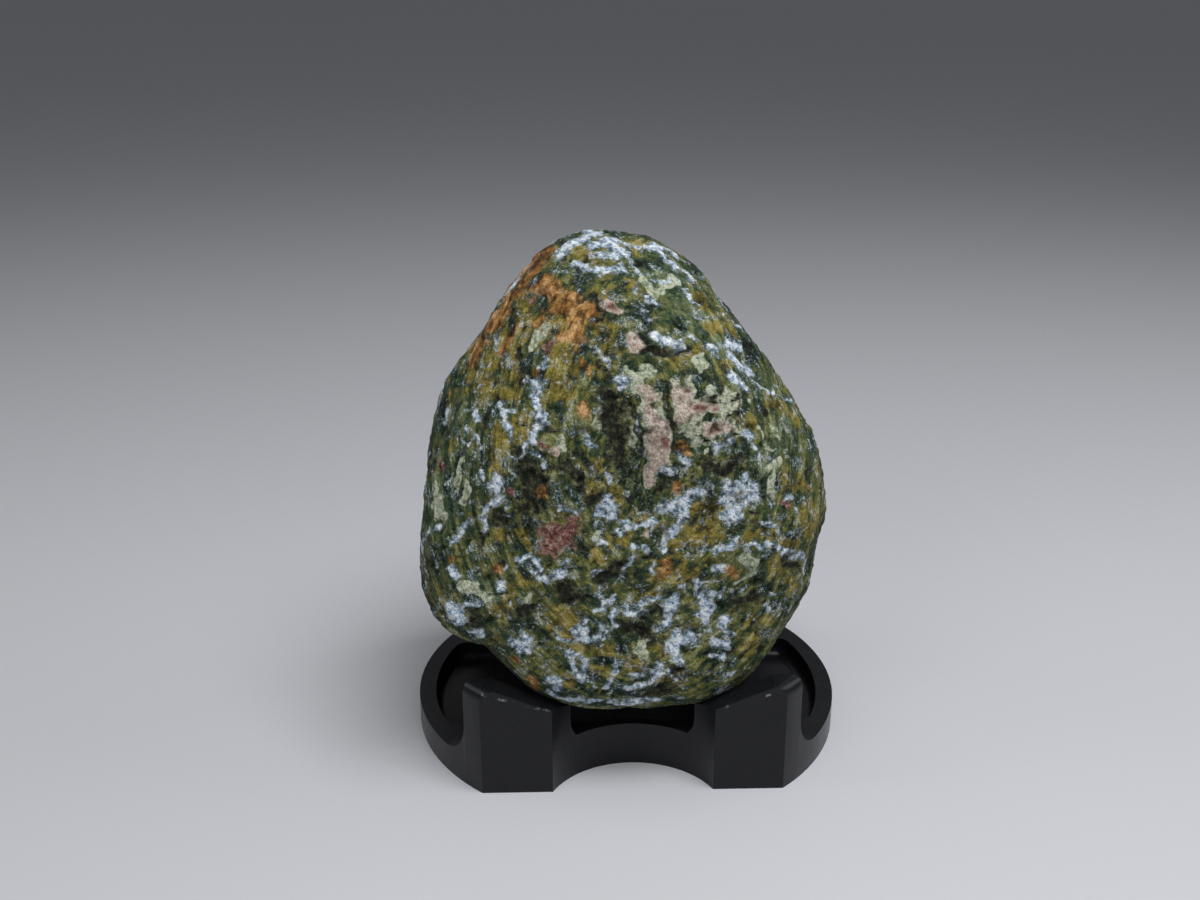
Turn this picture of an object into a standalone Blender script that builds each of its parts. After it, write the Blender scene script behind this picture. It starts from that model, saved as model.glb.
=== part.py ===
"""Viewing stone on a black moulded stand.

A natural boulder, broad below and narrow at the crown, rests between the four posts of a
low round stand. The stand is one moulding: a round dish cut flat at the front and back,
with a hollowed bay in each flat side and a post at each corner. Metres, +Z up. The origin
is on the table under the middle of the stand, and the front of the stand faces -Y.
"""
import math

import bmesh
import bpy
from mathutils import Vector, noise

MM = 0.001

# Stand, in metres
STAND_RADIUS = 82.5 * MM        # round outline at the left and right
FLAT_FACE = 61.5 * MM           # the front and back are cut flat this far from the middle
POST_HEIGHT = 42.4 * MM
POST_TOP_ROUND = 4.0 * MM       # rounding of the posts' outer top corner
POST_BACK = 52.5 * MM           # the posts' inner face, from the middle of the stand
POST_END = 57.0 * MM            # where the inner face starts to turn round the outer end
POST_END_ROUND = 5.0 * MM
RIM_HEIGHT = 11.0 * MM          # level rim at both sides
RIM_FILLET = 13.0 * MM          # hollow sweep from the rim up into a post
BAY_RADIUS = 32.7 * MM          # hollowed bay between the two posts of one side
BAY_CENTRE = 76.0 * MM
WEB_THICKNESS = 3.5 * MM        # low wall that closes the foot of a bay
WEB_HEIGHT = 17.0 * MM
SEAT_INNER = (29.2 * MM, 33.5 * MM)     # across and up: where a post's sloping top ends
SEAT_OUTER = (50.5 * MM, 42.4 * MM)     # across and up: where it starts
DISH_RADIUS = 76.0 * MM         # sunk floor inside the rim
DISH_HALF_DEPTH = 32.0 * MM
DISH_FLOOR = 3.5 * MM
DISH_FILLET = 6.5 * MM
EDGE_ROUND = 0.7 * MM
BEYOND = 100.0 * MM             # how far cutters run past what they cut
TOUCH = 0.01 * MM               # places closer than this are the same place

# Stone, in metres, with headings in degrees from +X towards +Y and tilts up from level
STONE_HEART = Vector((-2.0, 0.0, 104.0)) * MM
FACET_SHARPNESS = 14.0          # how tightly the facets' meeting edges are rounded
STONE_FACETS = (
    # heading, tilt, distance from the heart
    (0, 0, 75 * MM),            # right flank
    (180, 3, 73 * MM),          # left flank
    (-88, 6, 55 * MM),          # front
    (93, 11, 48 * MM),          # back
    (-42, -4, 80 * MM),         # front right corner
    (-140, -4, 100 * MM),       # front left corner
    (46, 4, 70 * MM),           # back right corner
    (134, 10, 69 * MM),         # back left corner
    (13, 31, 66 * MM),          # right shoulder
    (165, 33, 73 * MM),         # left shoulder
    (-92, 36, 67 * MM),         # brow
    (87, 46, 74 * MM),          # nape
    (-45, 36, 72 * MM),         # brow, right
    (-140, 34, 74 * MM),        # brow, left
    (48, 38, 70 * MM),          # nape, right
    (132, 38, 79 * MM),         # nape, left
    (90, 72, 103 * MM),         # crown
    (30, 60, 93 * MM),          # crown, right
    (165, 60, 93 * MM),         # crown, left
    (-75, 62, 80 * MM),         # crown, front
    (-8, -30, 86 * MM),         # right flank, below
    (-8, -55, 90 * MM),         # foot, right
    (-160, -46, 86 * MM),       # undercut facet, lower left
    (-90, -50, 93 * MM),        # foot, front
    (0, -90, 83 * MM),          # foot
    (90, -52, 93 * MM),         # foot, back
    (140, -40, 96 * MM),        # foot, back left
    (45, -42, 101 * MM),        # foot, back right
)
STONE_FEATURES = (
    # heading, tilt, lean clockwise from upright, half length, half width, height
    (-96, 35, -8, 16 * MM, 6.5 * MM, -3.0 * MM),        # dark hollow under the brow
    (-118, 42, 12, 34 * MM, 6.0 * MM, -1.8 * MM),       # crease down the left of the face
    (-124, 50, 14, 30 * MM, 6.0 * MM, 1.6 * MM),        # ridge beside the crease
    (-81, 32, -12, 17 * MM, 6.0 * MM, 1.3 * MM),        # long pink clast
    (-61, 38, 10, 13 * MM, 11.0 * MM, 1.1 * MM),        # group of pale clasts
    (-113, -4, 0, 8 * MM, 8.0 * MM, 1.0 * MM),          # reddish blotch
    (-82, 3, 86, 26 * MM, 4.5 * MM, -1.4 * MM),         # level groove under the clasts
    (-70, -12, 84, 30 * MM, 5.0 * MM, 1.2 * MM),        # ledge below the groove
    (-128, -20, 78, 30 * MM, 5.0 * MM, 1.6 * MM),       # ledge above the undercut
    (-133, -37, 62, 24 * MM, 9.0 * MM, -5.2 * MM),      # scooped underside, lower left
    (-36, 45, -30, 14 * MM, 7.0 * MM, -2.0 * MM),       # notch in the right shoulder
    (6, 54, 10, 17 * MM, 12.0 * MM, -4.0 * MM),         # step in the crown's right side
    (176, 38, 20, 22 * MM, 7.0 * MM, -1.2 * MM),        # furrow on the left shoulder
    (-160, 12, 6, 34 * MM, 5.0 * MM, -1.6 * MM),        # upright furrow on the left flank
    (-25, -12, 10, 20 * MM, 7.0 * MM, -1.6 * MM),       # shallow scoop, right flank
    (70, 20, 70, 30 * MM, 7.0 * MM, -2.4 * MM),         # groove across the back
    (110, -8, 84, 34 * MM, 7.0 * MM, 2.0 * MM),         # ledge across the back
    (140, 30, 10, 24 * MM, 8.0 * MM, -2.2 * MM),        # furrow, back left
)
LUMPS = (
    # size, height: smooth swellings of the skin
    (34 * MM, 2.4 * MM),
    (15 * MM, 1.1 * MM),
)
FOLD_SIZE = 17 * MM             # spacing of the layered folds that wrap the boulder
FOLD_HEIGHT = 1.2 * MM
FOLD_MIDDLE = 0.6               # share of the height at which the folds leave the skin's size alone
FOLD_STRETCH = 0.3              # a fold's width over its length
FLANK_FADE = 40 * MM            # over this width the folds turn from level to upright, to the left
STONE_GAP = 0.3 * MM            # clearance between the stone and the posts it rests on

# Materials: base colour, roughness, metallic
MATERIALS = {
    "stone": ((0.115, 0.118, 0.060), 0.85, 0.0),
    "black_plastic": ((0.012, 0.012, 0.014), 0.32, 0.0),
}


def clear_scene():
    """Remove every object, mesh and curve that the file holds."""
    for obj in list(bpy.data.objects):
        bpy.data.objects.remove(obj, do_unlink=True)
    for store in (bpy.data.meshes, bpy.data.curves, bpy.data.materials):
        for block in list(store):
            store.remove(block)


def new_collection(name):
    """Make a collection under the scene's own."""
    collection = bpy.data.collections.new(name)
    bpy.context.scene.collection.children.link(collection)
    return collection


def make_material(name):
    """Make a plain Principled material from the table above."""
    colour, roughness, metallic = MATERIALS[name]
    material = bpy.data.materials.new(name)
    material.use_nodes = True
    shader = material.node_tree.nodes["Principled BSDF"]
    shader.inputs["Base Color"].default_value = (*colour, 1.0)
    shader.inputs["Roughness"].default_value = roughness
    shader.inputs["Metallic"].default_value = metallic
    return material


def object_from_bmesh(name, shape, collection):
    """Turn a bmesh into an object in the given collection."""
    mesh = bpy.data.meshes.new(name)
    shape.to_mesh(mesh)
    shape.free()
    obj = bpy.data.objects.new(name, mesh)
    collection.objects.link(obj)
    return obj


def as_cutter(obj):
    """Mark an object as a construction tool, which is not a piece of the model."""
    obj.hide_render = True
    obj.display_type = "WIRE"
    return obj


def add_boolean(target, tool, operation):
    """Cut, join or intersect the target with the tool."""
    modifier = target.modifiers.new(f"{operation.lower()} {tool.name}", "BOOLEAN")
    modifier.operation = operation
    modifier.object = tool
    modifier.solver = "EXACT"


def box(name, low, high, collection):
    """Box from its lowest to its highest corner."""
    shape = bmesh.new()
    bmesh.ops.create_cube(shape, size=1.0)
    low, high = Vector(low), Vector(high)
    bmesh.ops.scale(shape, vec=high - low, verts=shape.verts)
    bmesh.ops.translate(shape, vec=(low + high) / 2, verts=shape.verts)
    return object_from_bmesh(name, shape, collection)


def cylinder(name, radius, low, high, centre, segments, collection):
    """Upright cylinder from one height to another."""
    shape = bmesh.new()
    bmesh.ops.create_cone(shape, cap_ends=True, segments=segments,
                          radius1=radius, radius2=radius, depth=high - low)
    bmesh.ops.translate(shape, vec=(*centre, (low + high) / 2), verts=shape.verts)
    return object_from_bmesh(name, shape, collection)


def prism(name, outline, low, high, collection):
    """Upright prism over a plan outline, made from a filled and extruded 2D curve."""
    curve = bpy.data.curves.new(name, "CURVE")
    curve.dimensions = "2D"
    curve.fill_mode = "BOTH"
    curve.extrude = (high - low) / 2
    spline = curve.splines.new("POLY")
    spline.points.add(len(outline) - 1)
    for point, (x, y) in zip(spline.points, outline):
        point.co = (x, y, 0.0, 1.0)
    spline.use_cyclic_u = True
    source = bpy.data.objects.new(name, curve)
    source.location.z = (low + high) / 2
    bpy.context.scene.collection.objects.link(source)
    bpy.context.view_layer.update()
    evaluated = source.evaluated_get(bpy.context.evaluated_depsgraph_get())
    mesh = bpy.data.meshes.new_from_object(evaluated)
    mesh.transform(source.matrix_world)
    shape = bmesh.new()
    shape.from_mesh(mesh)
    bmesh.ops.remove_doubles(shape, verts=shape.verts, dist=0.00001)
    bmesh.ops.dissolve_limit(shape, angle_limit=math.radians(1), verts=shape.verts, edges=shape.edges)
    bmesh.ops.recalc_face_normals(shape, faces=shape.faces)
    bpy.data.objects.remove(source, do_unlink=True)
    bpy.data.meshes.remove(mesh)
    return object_from_bmesh(name, shape, collection)


def valley_outline():
    """Plan of the space between the front and back posts, flaring past their outer ends."""
    far = STAND_RADIUS + BEYOND
    steps = 6
    quarter = []
    for step in range(steps + 1):
        turn = math.radians(90) * step / steps
        quarter.append((POST_END + POST_END_ROUND * math.sin(turn),
                        POST_BACK + POST_END_ROUND * (1 - math.cos(turn))))
    quarter += [(POST_END + POST_END_ROUND, far), (far, far)]
    right = quarter + [(x, -y) for x, y in reversed(quarter)]
    return right + [(-x, -y) for x, y in right]


def build_valley(cutters):
    """Cutter for everything above the rim between the posts, with a hollow sweep at its foot."""
    valley = prism("valley_cutter", valley_outline(), RIM_HEIGHT, POST_HEIGHT + BEYOND, cutters)
    mesh = valley.data
    weights = mesh.attributes.new("bevel_weight_edge", "FLOAT", "EDGE")
    wall_limit = POST_END + POST_END_ROUND + TOUCH
    for edge in mesh.edges:
        ends = [mesh.vertices[index].co for index in edge.vertices]
        at_foot = all(abs(end.z - RIM_HEIGHT) < TOUCH for end in ends)
        on_wall = all(abs(end.x) < wall_limit and abs(end.y) > POST_BACK - TOUCH for end in ends)
        crosses = ends[0].y * ends[1].y < 0
        weights.data[edge.index].value = 1.0 if at_foot and on_wall and not crosses else 0.0
    sweep = valley.modifiers.new("foot sweep", "BEVEL")
    sweep.limit_method = "WEIGHT"
    sweep.width = RIM_FILLET
    sweep.segments = 7
    sweep.use_clamp_overlap = False
    return as_cutter(valley)


def build_dish(cutters):
    """Cutter for the sunk floor inside the rim, with rounded walls."""
    dish = cylinder("dish_cutter", DISH_RADIUS, DISH_FLOOR, POST_HEIGHT, (0, 0), 96, cutters)
    band = box("dish_band", (-BEYOND, -DISH_HALF_DEPTH, -BEYOND),
               (BEYOND, DISH_HALF_DEPTH, BEYOND), cutters)
    add_boolean(dish, as_cutter(band), "INTERSECT")
    fillet = dish.modifiers.new("floor fillet", "BEVEL")
    fillet.limit_method = "ANGLE"
    fillet.angle_limit = math.radians(40)
    fillet.width = DISH_FILLET
    fillet.segments = 5
    return as_cutter(dish)


def build_slope(side, cutters):
    """Cutter that slopes the post tops of one side down towards the middle."""
    run = SEAT_OUTER[0] - SEAT_INNER[0]
    rise = SEAT_OUTER[1] - SEAT_INNER[1]
    angle = math.atan2(rise, run)
    half_length = STAND_RADIUS / 2
    slope = box(f"slope_cutter_{'right' if side > 0 else 'left'}",
                (-half_length, -STAND_RADIUS, 0), (half_length, STAND_RADIUS, POST_HEIGHT), cutters)
    slope.location = (side * (SEAT_INNER[0] + run / 2), 0, SEAT_INNER[1] + rise / 2)
    slope.rotation_euler = (0, -side * angle, 0)
    return as_cutter(slope)


def build_stand(parts, cutters):
    """One moulding: a round blank with everything that isn't dish, rim, web or post cut away."""
    shape = bmesh.new()
    bmesh.ops.create_cone(shape, cap_ends=True, segments=128,
                          radius1=STAND_RADIUS, radius2=STAND_RADIUS, depth=POST_HEIGHT)
    bmesh.ops.translate(shape, vec=(0, 0, POST_HEIGHT / 2), verts=shape.verts)
    top_edges = [edge for edge in shape.edges
                 if all(vert.co.z > POST_HEIGHT - MM for vert in edge.verts)]
    bmesh.ops.bevel(shape, geom=top_edges, offset=POST_TOP_ROUND, offset_type="OFFSET",
                    segments=4, profile=0.5, affect="EDGES", clamp_overlap=True)
    stand = object_from_bmesh("stand", shape, parts)
    add_boolean(stand, build_valley(cutters), "DIFFERENCE")
    for side, name in ((-1, "front"), (1, "back")):
        centre = (0, side * BAY_CENTRE)
        web = cylinder(f"web_{name}", BAY_RADIUS + WEB_THICKNESS, DISH_FLOOR / 2, WEB_HEIGHT,
                       centre, 72, cutters)
        add_boolean(stand, as_cutter(web), "UNION")
        near, far = sorted((side * FLAT_FACE, side * (FLAT_FACE + BEYOND)))
        flat = box(f"flat_cutter_{name}", (-BEYOND, near, -BEYOND), (BEYOND, far, BEYOND), cutters)
        add_boolean(stand, as_cutter(flat), "DIFFERENCE")
        bay = cylinder(f"bay_cutter_{name}", BAY_RADIUS, -BEYOND, BEYOND, centre, 72, cutters)
        add_boolean(stand, as_cutter(bay), "DIFFERENCE")
    for side in (-1, 1):
        add_boolean(stand, build_slope(side, cutters), "DIFFERENCE")
    add_boolean(stand, build_dish(cutters), "DIFFERENCE")
    rounding = stand.modifiers.new("edge rounding", "BEVEL")
    rounding.limit_method = "ANGLE"
    rounding.angle_limit = math.radians(35)
    rounding.width = EDGE_ROUND
    rounding.segments = 2
    stand.data.materials.append(make_material("black_plastic"))


def build_seat(across, deep, cutters):
    """Cutter for the place where the stone sits on one post: the post grown by the gap."""
    slope = (SEAT_OUTER[1] - SEAT_INNER[1]) / (SEAT_OUTER[0] - SEAT_INNER[0])
    tip = math.sqrt(BAY_RADIUS ** 2 - (BAY_CENTRE - POST_BACK) ** 2) - STONE_GAP
    tip_top = SEAT_INNER[1] - slope * (SEAT_INNER[0] - tip) + STONE_GAP
    full_top = SEAT_OUTER[1] + STONE_GAP
    outline = ((tip, 0), (tip, tip_top), (SEAT_OUTER[0], full_top),
               (STAND_RADIUS, full_top), (STAND_RADIUS, 0))
    name = f"seat_cutter_{'right' if across > 0 else 'left'}_{'back' if deep > 0 else 'front'}"
    seat = prism(name, outline, POST_BACK - STONE_GAP, FLAT_FACE + BEYOND, cutters)
    for vert in seat.data.vertices:
        side, up, away = vert.co
        vert.co = (across * side, deep * away, up)
    if across * deep > 0:
        seat.data.flip_normals()
    return as_cutter(seat)


def facet_normal(heading, tilt):
    """Unit vector of a heading and a tilt in degrees."""
    heading, tilt = math.radians(heading), math.radians(tilt)
    return Vector((math.cos(tilt) * math.cos(heading), math.cos(tilt) * math.sin(heading),
                   math.sin(tilt)))


def facet_radius(direction, facets):
    """Distance from the heart to the skin: the rounded meeting of all the facets."""
    total = 0.0
    for normal, distance in facets:
        total += (max(0.0, direction.dot(normal)) / distance) ** FACET_SHARPNESS
    return total ** (-1.0 / FACET_SHARPNESS)


def feature_height(place, features):
    """Height that the hand-placed hollows, ledges and clasts add at a place on the skin."""
    height = 0.0
    for centre, along, across, half_length, half_width, rise in features:
        offset = place - centre
        reach = (offset.dot(along) / half_length) ** 2 + (offset.dot(across) / half_width) ** 2
        beside = offset.dot(along.cross(across)) / (half_length + half_width)
        height += rise * math.exp(-reach - beside ** 2)
    return height


def skin_height(place):
    """Height of the swellings and of the layered folds at a place on the skin."""
    height = sum(rise * noise.noise(place / size) for size, rise in LUMPS)
    flank = min(1.0, max(0.0, -place.x / FLANK_FADE))
    level = Vector((place.x * FOLD_STRETCH, place.y, place.z)) / FOLD_SIZE
    upright = Vector((place.x, place.y, place.z * FOLD_STRETCH)) / FOLD_SIZE
    level_fold = 1.0 - 2.0 * abs(noise.noise(level))
    upright_fold = 1.0 - 2.0 * abs(noise.noise(upright))
    fold = level_fold * (1.0 - flank) + upright_fold * flank
    return height + FOLD_HEIGHT * (fold - FOLD_MIDDLE)


def place_features(facets):
    """Centre, two axes, two half sizes and height of each hollow, ledge and clast."""
    features = []
    for heading, tilt, lean, half_length, half_width, rise in STONE_FEATURES:
        outward = facet_normal(heading, tilt)
        across = Vector((0, 0, 1)).cross(outward).normalized()
        along = outward.cross(across)
        turn = math.radians(lean)
        long_axis = along * math.cos(turn) + across * math.sin(turn)
        short_axis = across * math.cos(turn) - along * math.sin(turn)
        features.append((outward * facet_radius(outward, facets), long_axis, short_axis,
                         half_length, half_width, rise))
    return features


def build_stone(parts, cutters):
    """The boulder: rounded facets, then lumps, ledges, pits and hollows."""
    facets = [(facet_normal(heading, tilt), distance) for heading, tilt, distance in STONE_FACETS]
    features = place_features(facets)
    shape = bmesh.new()
    bmesh.ops.create_icosphere(shape, subdivisions=5, radius=1.0)
    for vert in shape.verts:
        direction = vert.co.normalized()
        place = direction * facet_radius(direction, facets)
        relief = feature_height(place, features) + skin_height(place)
        vert.co = STONE_HEART + place + direction * relief
    stone = object_from_bmesh("stone", shape, parts)
    for across in (-1, 1):
        for deep in (-1, 1):
            add_boolean(stone, build_seat(across, deep, cutters), "DIFFERENCE")
    stone.data.shade_smooth()
    stone.data.materials.append(make_material("stone"))


def build():
    """Make the stand and the stone."""
    clear_scene()
    parts = new_collection("viewing_stone")
    cutters = new_collection("cutters")
    build_stand(parts, cutters)
    build_stone(parts, cutters)


build()
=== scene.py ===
import math
import random

import bmesh
import bpy
import numpy as np
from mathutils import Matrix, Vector, noise
from mathutils.bvhtree import BVHTree


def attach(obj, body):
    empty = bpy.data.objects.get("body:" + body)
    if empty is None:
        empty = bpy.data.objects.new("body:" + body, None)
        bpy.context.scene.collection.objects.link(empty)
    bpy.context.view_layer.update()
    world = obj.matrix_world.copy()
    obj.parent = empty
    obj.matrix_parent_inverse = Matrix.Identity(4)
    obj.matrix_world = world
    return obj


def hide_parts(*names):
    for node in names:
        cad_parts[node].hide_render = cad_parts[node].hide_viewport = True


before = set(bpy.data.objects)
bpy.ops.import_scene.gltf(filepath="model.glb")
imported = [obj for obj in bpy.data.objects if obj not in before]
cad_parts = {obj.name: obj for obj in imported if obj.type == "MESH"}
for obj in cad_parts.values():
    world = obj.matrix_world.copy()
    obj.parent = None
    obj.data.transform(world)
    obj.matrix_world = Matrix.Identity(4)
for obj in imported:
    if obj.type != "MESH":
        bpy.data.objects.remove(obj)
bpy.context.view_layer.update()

MM = 0.001
scene = bpy.context.scene
scene.view_settings.view_transform = "Standard"

# Camera. It stands at arm's length in front of the stone, a little to the left, and looks down
# on it by about 21 degrees, so the stand's floor and the top of the stone both show.
CAMERA_PLACE = Vector((-25.0, -494.8, 299.3)) * MM
CAMERA_PITCH = math.radians(20.93)
CAMERA_TURN = math.radians(1.70)        # towards +X
camera_data = bpy.data.cameras.new("camera")
camera_data.lens = 42.0
camera_data.sensor_width = 36.0
camera_data.clip_start = 10 * MM
camera = bpy.data.objects.new("camera", camera_data)
scene.collection.objects.link(camera)
camera.location = CAMERA_PLACE
camera_aim = Vector((math.sin(CAMERA_TURN) * math.cos(CAMERA_PITCH),
                     math.cos(CAMERA_TURN) * math.cos(CAMERA_PITCH),
                     -math.sin(CAMERA_PITCH)))
camera.rotation_euler = camera_aim.to_track_quat("-Z", "Y").to_euler()
scene.camera = camera

# Studio. A broad soft box hangs over the stone, a weaker one fills in from the front left and
# another from behind, and two at the sides shine in under the stone onto the stand.
SOFT_BOXES = (
    # name, place, aimed at, width, depth, watts, colour
    ("overhead", (0.20, -0.32, 0.86), (0.02, -0.02, 0.06), 0.55, 0.45, 6.2, (0.975, 0.985, 1.0)),
    ("back", (0.05, 0.60, 0.70), (0.0, 0.0, 0.05), 1.10, 0.40, 0.4, (0.98, 0.99, 1.0)),
    ("fill", (-0.75, -0.95, 0.75), (0.0, 0.0, 0.10), 0.60, 0.60, 2.4, (0.95, 0.98, 1.0)),
    ("right", (0.85, 0.06, 0.60), (0.0, 0.03, 0.03), 0.60, 0.45, 1.5, (0.98, 0.99, 1.0)),
    ("left", (-0.85, 0.02, 0.64), (0.0, 0.03, 0.03), 0.60, 0.45, 1.2, (0.98, 0.99, 1.0)),
)
for name, place, target, width, depth, watts, colour in SOFT_BOXES:
    lamp = bpy.data.lights.new(name, "AREA")
    lamp.shape = "RECTANGLE"
    lamp.size, lamp.size_y = width, depth
    lamp.energy = watts
    lamp.color = colour
    soft_box = bpy.data.objects.new(name, lamp)
    soft_box.location = place
    soft_box.rotation_euler = (Vector(target) - Vector(place)).to_track_quat("-Z", "Y").to_euler()
    scene.collection.objects.link(soft_box)

surround = bpy.data.worlds.new("surround")
surround.use_nodes = True
surround.node_tree.nodes["Background"].inputs["Color"].default_value = (0.80, 0.82, 0.86, 1.0)
surround.node_tree.nodes["Background"].inputs["Strength"].default_value = 0.15
scene.world = surround


# Floor. A plain pale painted surface, smooth and slightly satin, far larger than the view.
FLOOR_HALF = 12.0


def add_node(tree, kind, inputs=None, **settings):
    """Add a node with its settings, and fill or link its inputs."""
    item = tree.nodes.new(kind)
    for name, value in settings.items():
        setattr(item, name, value)
    for name, value in (inputs or {}).items():
        if isinstance(value, bpy.types.NodeSocket):
            tree.links.new(value, item.inputs[name])
        else:
            item.inputs[name].default_value = value
    return item


def new_material(name):
    """An empty node material: its tree and its Principled BSDF."""
    material = bpy.data.materials.new(name)
    material.use_nodes = True
    return material, material.node_tree, material.node_tree.nodes["Principled BSDF"]


def ramp(tree, factor, stops):
    """Colour ramp over (position, colour) stops."""
    item = add_node(tree, "ShaderNodeValToRGB", {"Fac": factor})
    while len(item.color_ramp.elements) < len(stops):
        item.color_ramp.elements.new(1.0)
    for element, (position, colour) in zip(item.color_ramp.elements, stops):
        element.position = position
        element.color = (*colour, 1.0)
    return item.outputs["Color"]


def mix(tree, factor, first, second):
    """Colour mix of two colours or colour sockets."""
    item = tree.nodes.new("ShaderNodeMix")
    item.data_type = "RGBA"
    for index, value in ((0, factor), (6, first), (7, second)):
        if isinstance(value, bpy.types.NodeSocket):
            tree.links.new(value, item.inputs[index])
        else:
            item.inputs[index].default_value = (*value, 1.0) if index else value
    return item.outputs[2]


shape = bmesh.new()
bmesh.ops.create_grid(shape, x_segments=1, y_segments=1, size=FLOOR_HALF)
floor_mesh = bpy.data.meshes.new("floor")
shape.to_mesh(floor_mesh)
shape.free()
floor = bpy.data.objects.new("floor", floor_mesh)
scene.collection.objects.link(floor)
material, tree, shader = new_material("floor_paint")
cloudy = add_node(tree, "ShaderNodeTexNoise", {"Scale": 6.0, "Detail": 3.0})
tree.links.new(ramp(tree, cloudy.outputs["Fac"], ((0.3, (0.61, 0.61, 0.64)), (0.7, (0.65, 0.65, 0.68)))),
               shader.inputs["Base Color"])
shader.inputs["Roughness"].default_value = 0.45
shader.inputs["Specular IOR Level"].default_value = 0.3
floor.data.materials.append(material)


# Stone: skin. One natural boulder of banded green rock, broken from its bed and worn by water:
# rounded facets wrapped by layers, with lumps, ledges, chips and pits all over. The fine skin is
# laid evenly over the plain solid and then raised and sunk along its own normals.
SKIN_STEP = 1.06 * MM           # size of the skin's facets
SKIN_EASE = 6                   # rounds of smoothing before the relief is raised
EYE = (4.0 * MM, 128.0 * MM)    # across and up: the place that the layers wrap round
EYE_WIDTH, EYE_HEIGHT = 68.0 * MM, 92.0 * MM
LAYER_REACH = 80.0 * MM
LAYER_THICK, LAYER_LONG = 2.8 * MM, 13.0 * MM
LUMPS = (
    # size, height
    (11.0 * MM, 0.7 * MM),
    (4.5 * MM, 0.5 * MM),
)
RIDGE_SIZE, RIDGE_DEPTH = 3.4 * MM, 1.1 * MM    # sharp creases of the hackly broken skin
LEDGE_THICK, LEDGE_HEIGHT = 1.7, 0.8 * MM       # layers per ledge, and how far a ledge stands out
CHIP_SIZE, CHIP_TILT = 6.0 * MM, 0.13
PIT_SIZE, PIT_DEPTH = 3.0 * MM, 1.1 * MM


def layer_places(places):
    """Places in the layered rock: through the layers, and twice along them."""
    across = (places[:, 0] - EYE[0]) / EYE_WIDTH
    up = (places[:, 2] - EYE[1]) / EYE_HEIGHT
    reach = np.maximum(np.hypot(across, up), 1e-6)
    ring = LAYER_REACH / LAYER_LONG
    drift = places[:, 1] / LAYER_LONG
    return np.stack([reach * LAYER_REACH / LAYER_THICK,
                     across / reach * ring + drift, up / reach * ring - drift], axis=1)


def noise_over(places, size, shift=0.0):
    """Smooth noise from -1 to 1 at every place."""
    return np.array([noise.noise(Vector(place)) for place in places / size + shift])


def chips_over(places, size):
    """Height of tilted chips: each cell of the broken skin leans its own way."""
    heights = []
    for place in places / size:
        near, points = noise.voronoi(Vector(place))
        lean = noise.cell_vector(points[0] * 7.0) - Vector((0.5, 0.5, 0.5))
        heights.append(lean.dot(Vector(place) - points[0]) * 2.0 * size)
    return np.array(heights)


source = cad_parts["stone"].data.copy()
shape = bmesh.new()
shape.from_mesh(source)
bmesh.ops.remove_doubles(shape, verts=shape.verts, dist=0.01 * MM)
shape.to_mesh(source)
solid = BVHTree.FromBMesh(shape)
shape.free()
stone = bpy.data.objects.new("boulder", source)
scene.collection.objects.link(stone)
remesh = stone.modifiers.new("even skin", "REMESH")
remesh.mode = "VOXEL"
remesh.voxel_size = SKIN_STEP
ease = stone.modifiers.new("ease", "SMOOTH")
ease.factor = 0.5
ease.iterations = SKIN_EASE
bpy.context.view_layer.update()
skin = bpy.data.meshes.new_from_object(stone.evaluated_get(bpy.context.evaluated_depsgraph_get()))
stone.modifiers.clear()
stone.data = skin
skin.name = "boulder"

places = np.zeros(len(skin.vertices) * 3)
skin.vertices.foreach_get("co", places)
places = places.reshape(-1, 3)
outward = np.zeros(len(skin.vertices) * 3)
skin.vertices.foreach_get("normal", outward)
outward = outward.reshape(-1, 3)
layers = layer_places(places)

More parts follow.
